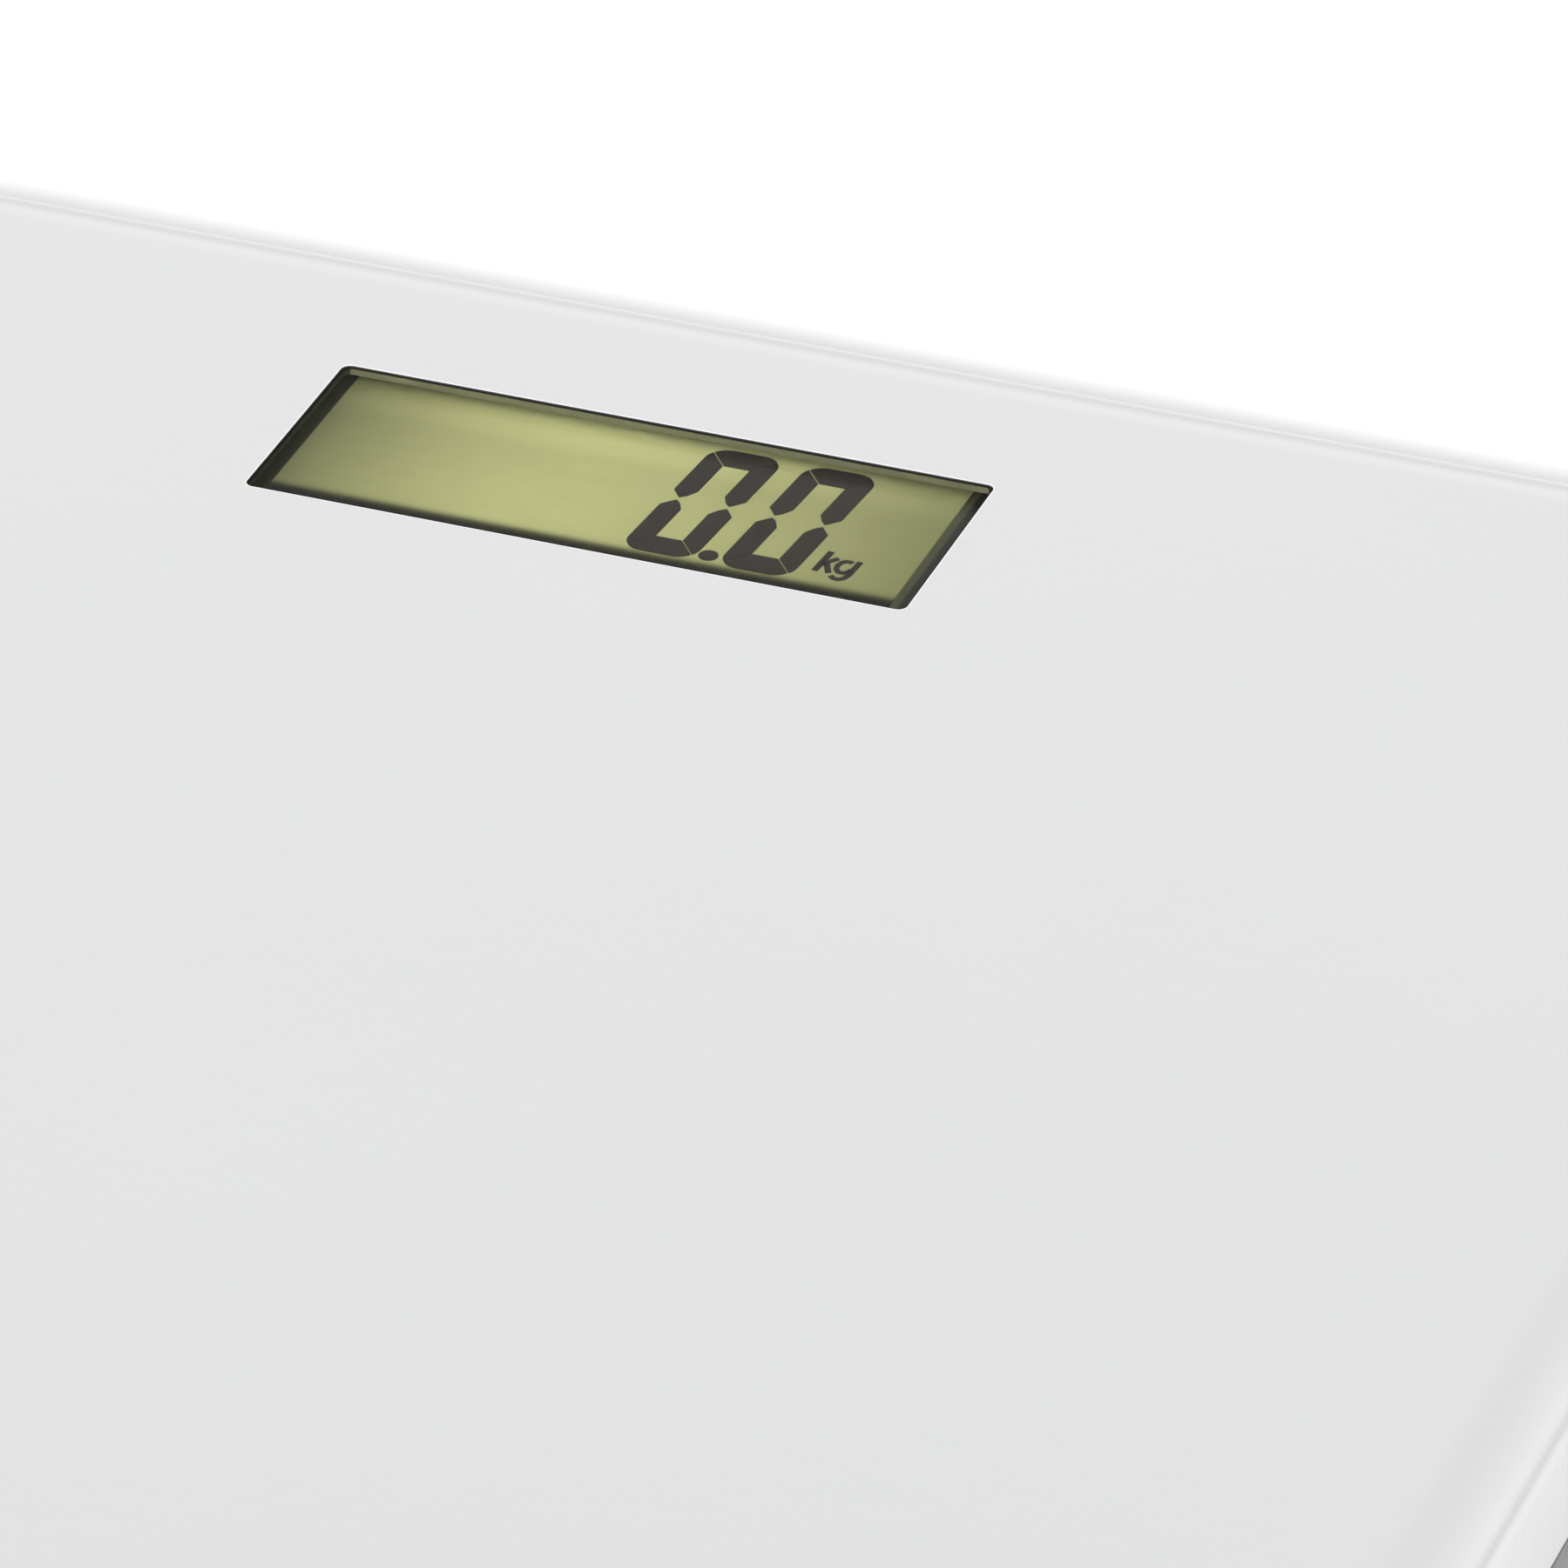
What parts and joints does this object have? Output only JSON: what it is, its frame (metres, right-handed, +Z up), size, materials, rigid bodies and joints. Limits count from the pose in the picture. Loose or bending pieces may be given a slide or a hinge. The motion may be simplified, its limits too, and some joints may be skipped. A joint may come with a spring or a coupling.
{
  "type": "electronic platform scale",
  "caption": "Low square platform scale with a brushed steel cover, a set-in olive digital display near its far edge, and load-cell feet at its corners.",
  "frame": {"origin": "on the floor under the platform's centre", "axes": "+Z up; +Y towards the edge that carries the display; +X to the reader's right when the display is at the far side"},
  "size_m": [0.3, 0.3, 0.028],
  "materials": {
    "brushed_steel": "brushed along the width",
    "frame_plastic": "moulded, fine texture",
    "base_plastic": "moulded, fine texture",
    "clear_lens": "polished clear acrylic",
    "black_tape": "matt adhesive foam",
    "lcd_olive": "reflective liquid-crystal cell",
    "display_holder_plastic": "moulded",
    "zebra_rubber": "layered silicone",
    "board_green": "solder-resist coated laminate",
    "chip_epoxy": "cast epoxy",
    "switch_body": "moulded",
    "key_plastic": "moulded",
    "door_plastic": "moulded, fine texture",
    "battery_wrap": "printed sleeve over steel can",
    "nickel_contact": "nickel-plated spring strip",
    "lead_red": "insulated lead",
    "lead_black": "insulated lead",
    "lead_grey": "insulated three-core lead",
    "zinc_plated_screw": "zinc plated",
    "plated_steel": "nickel-plated stamping",
    "white_silicone": "cured silicone",
    "seat_plastic": "moulded",
    "foot_plastic": "moulded",
    "pad_rubber": "matt moulded rubber"
  },
  "bodies": {
    "scale_body": {"platform_cover": "brushed_steel", "platform_frame": "frame_plastic", "base_cover": "base_plastic", "display_lens": "clear_lens", "lens_tape": "black_tape", "lcd_glass": "lcd_olive", "lcd_holder": "display_holder_plastic", "zebra_strip": "zebra_rubber", "main_board": "board_green", "chip_coating": "chip_epoxy", "unit_switch": "switch_body", "battery_left_pole": "battery_wrap", "battery_right_pole": "battery_wrap", "contact_link": "nickel_contact", "contact_plus": "nickel_contact", "contact_minus": "nickel_contact", "battery_lead_plus": "lead_red", "battery_lead_minus": "lead_black", "board_screw_left": "zinc_plated_screw", "board_screw_right": "zinc_plated_screw", "base_screw_1": "zinc_plated_screw", "base_screw_2": "zinc_plated_screw", "base_screw_3": "zinc_plated_screw", "base_screw_4": "zinc_plated_screw", "base_screw_5": "zinc_plated_screw", "base_screw_6": "zinc_plated_screw", "base_screw_7": "zinc_plated_screw", "base_screw_8": "zinc_plated_screw", "load_cell_near_left": "plated_steel", "gauge_coating_near_left": "white_silicone", "cell_holder_near_left": "seat_plastic", "cell_lead_near_left": "lead_grey", "load_cell_near_right": "plated_steel", "gauge_coating_near_right": "white_silicone", "cell_holder_near_right": "seat_plastic", "cell_lead_near_right": "lead_grey", "load_cell_far_left": "plated_steel", "gauge_coating_far_left": "white_silicone", "cell_holder_far_left": "seat_plastic", "cell_lead_far_left": "lead_grey", "load_cell_far_right": "plated_steel", "gauge_coating_far_right": "white_silicone", "cell_holder_far_right": "seat_plastic", "cell_lead_far_right": "lead_grey"},
    "foot_body_near_left": {"foot_near_left": "foot_plastic", "foot_pad_near_left": "pad_rubber"},
    "foot_body_near_right": {"foot_near_right": "foot_plastic", "foot_pad_near_right": "pad_rubber"},
    "foot_body_far_left": {"foot_far_left": "foot_plastic", "foot_pad_far_left": "pad_rubber"},
    "foot_body_far_right": {"foot_far_right": "foot_plastic", "foot_pad_far_right": "pad_rubber"},
    "battery_door_body": {"battery_door": "door_plastic"},
    "unit_button_body": {"unit_button": "key_plastic"}
  },
  "joints": [
    {"name": "foot_press_near_left", "type": "slide", "parent": "scale_body", "child": "foot_body_near_left", "axis": [0, 0, 1], "range_m": [0, 0.0006], "stiffness_N_per_m": 40000, "deforming": ["load_cell_near_left"]},
    {"name": "foot_press_near_right", "type": "slide", "parent": "scale_body", "child": "foot_body_near_right", "axis": [0, 0, 1], "range_m": [0, 0.0006], "stiffness_N_per_m": 40000, "deforming": ["load_cell_near_right"]},
    {"name": "foot_press_far_left", "type": "slide", "parent": "scale_body", "child": "foot_body_far_left", "axis": [0, 0, 1], "range_m": [0, 0.0006], "stiffness_N_per_m": 40000, "deforming": ["load_cell_far_left"]},
    {"name": "foot_press_far_right", "type": "slide", "parent": "scale_body", "child": "foot_body_far_right", "axis": [0, 0, 1], "range_m": [0, 0.0006], "stiffness_N_per_m": 40000, "deforming": ["load_cell_far_right"]},
    {"name": "battery_door_hinge", "type": "hinge", "parent": "scale_body", "child": "battery_door_body", "pos_m": [0, 0.01745, 0.00495], "axis": [-1, 0, 0], "range_deg": [0, 90]},
    {"name": "unit_button_press", "type": "slide", "parent": "scale_body", "child": "unit_button_body", "axis": [0, 0, 1], "range_m": [0, 0.0008], "stiffness_N_per_m": 2000}
  ]
}
